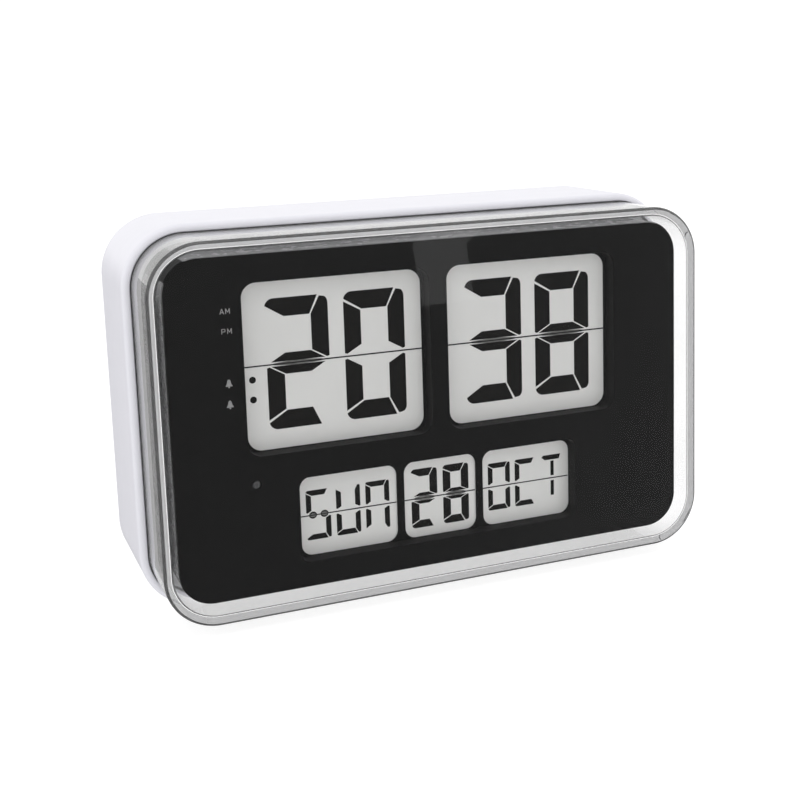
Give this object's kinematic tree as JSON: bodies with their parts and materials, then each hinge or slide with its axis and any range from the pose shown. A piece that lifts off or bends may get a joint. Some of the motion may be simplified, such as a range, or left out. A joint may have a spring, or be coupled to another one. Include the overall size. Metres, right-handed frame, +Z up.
{
  "type": "desk clock",
  "caption": "Battery desk clock with a clear front cover, black mask and liquid-crystal flip-style numerals in a white rear casing with keys and battery door.",
  "frame": {"origin": "centre of the clock's footprint, on the surface its feet stand on", "axes": "+X to the right seen from the front, +Y towards the back, +Z up; the display faces -Y"},
  "size_m": [0.206, 0.078, 0.1338],
  "materials": {
    "white_plastic": "smooth satin white",
    "inner_white_plastic": "matt white",
    "clear_plastic": "polished clear acrylic",
    "black_gloss_plastic": "high gloss black",
    "black_film": "satin black film",
    "lcd_glass": "grey reflective display glass",
    "light_guide_acrylic": "frosted acrylic",
    "contact_elastomer": "matt elastomer",
    "led_package": "diffused resin",
    "smoked_lens": "smoked lens",
    "chip_epoxy": "black epoxy",
    "circuit_board": "green solder mask",
    "plated_steel": "bright plated",
    "buzzer_brass": "satin brass",
    "switch_plastic": "matt black",
    "grey_key_plastic": "satin grey",
    "cell_sleeve": "printed sleeve",
    "red_wire": "insulated wire",
    "black_wire": "insulated wire",
    "foot_rubber": "matt rubber"
  },
  "bodies": {
    "clock_body": {"rear_casing": "white_plastic", "clear_cover": "clear_plastic", "chassis_frame": "inner_white_plastic", "display_mask": "black_gloss_plastic", "calendar_bezel": "black_film", "sensor_lens": "smoked_lens", "time_lcd": "lcd_glass", "calendar_lcd": "lcd_glass", "time_light_guide": "light_guide_acrylic", "calendar_light_guide": "light_guide_acrylic", "time_contact_strip": "contact_elastomer", "calendar_contact_strip": "contact_elastomer", "backlight_led_left": "led_package", "backlight_led_right": "led_package", "light_sensor": "chip_epoxy", "main_board": "circuit_board", "controller_chip": "chip_epoxy", "quartz_crystal": "plated_steel", "key_board": "circuit_board", "alarm_buzzer": "buzzer_brass", "snooze_switch": "switch_plastic", "mode_switch": "switch_plastic", "set_switch": "switch_plastic", "up_switch": "switch_plastic", "down_switch": "switch_plastic", "alarm_slide_switch": "plated_steel", "light_slide_switch": "plated_steel", "aa_cell_1": "cell_sleeve", "aa_cell_2": "cell_sleeve", "aa_cell_3": "cell_sleeve", "cell_spring_1": "plated_steel", "cell_spring_2": "plated_steel", "cell_spring_3": "plated_steel", "cell_plate_1": "plated_steel", "cell_plate_2": "plated_steel", "cell_plate_3": "plated_steel", "battery_lead_red": "red_wire", "battery_lead_black": "black_wire", "case_screw_1": "plated_steel", "case_screw_2": "plated_steel", "case_screw_3": "plated_steel", "case_screw_4": "plated_steel", "board_screw_1": "plated_steel", "board_screw_2": "plated_steel", "board_screw_3": "plated_steel", "board_screw_4": "plated_steel", "key_board_screw_1": "plated_steel", "key_board_screw_2": "plated_steel", "foot_front_left": "foot_rubber", "foot_front_right": "foot_rubber", "foot_rear_left": "foot_rubber", "foot_rear_right": "foot_rubber"},
    "snooze_key": {"snooze_button": "grey_key_plastic"},
    "mode_key": {"mode_button": "grey_key_plastic"},
    "set_key": {"set_button": "grey_key_plastic"},
    "up_key": {"up_button": "grey_key_plastic"},
    "down_key": {"down_button": "grey_key_plastic"},
    "alarm_knob": {"alarm_slide_knob": "switch_plastic"},
    "light_knob": {"light_slide_knob": "switch_plastic"},
    "door": {"battery_door": "white_plastic"}
  },
  "joints": [
    {"name": "snooze_press", "type": "slide", "parent": "clock_body", "child": "snooze_key", "axis": [0, -1, 0], "range_m": [0, 0.0008], "stiffness_N_per_m": 300},
    {"name": "mode_press", "type": "slide", "parent": "clock_body", "child": "mode_key", "axis": [0, -1, 0], "range_m": [0, 0.0008], "stiffness_N_per_m": 300},
    {"name": "set_press", "type": "slide", "parent": "clock_body", "child": "set_key", "axis": [0, -1, 0], "range_m": [0, 0.0008], "stiffness_N_per_m": 300},
    {"name": "up_press", "type": "slide", "parent": "clock_body", "child": "up_key", "axis": [0, -1, 0], "range_m": [0, 0.0008], "stiffness_N_per_m": 300},
    {"name": "down_press", "type": "slide", "parent": "clock_body", "child": "down_key", "axis": [0, -1, 0], "range_m": [0, 0.0008], "stiffness_N_per_m": 300},
    {"name": "alarm_slide", "type": "slide", "parent": "clock_body", "child": "alarm_knob", "axis": [1, 0, 0], "range_m": [0, 0.003]},
    {"name": "light_slide", "type": "slide", "parent": "clock_body", "child": "light_knob", "axis": [1, 0, 0], "range_m": [0, 0.003]},
    {"name": "battery_door_hinge", "type": "hinge", "parent": "clock_body", "child": "door", "pos_m": [0, 0.0374, 0.0711], "axis": [1, 0, 0], "range_deg": [0, 95]}
  ]
}
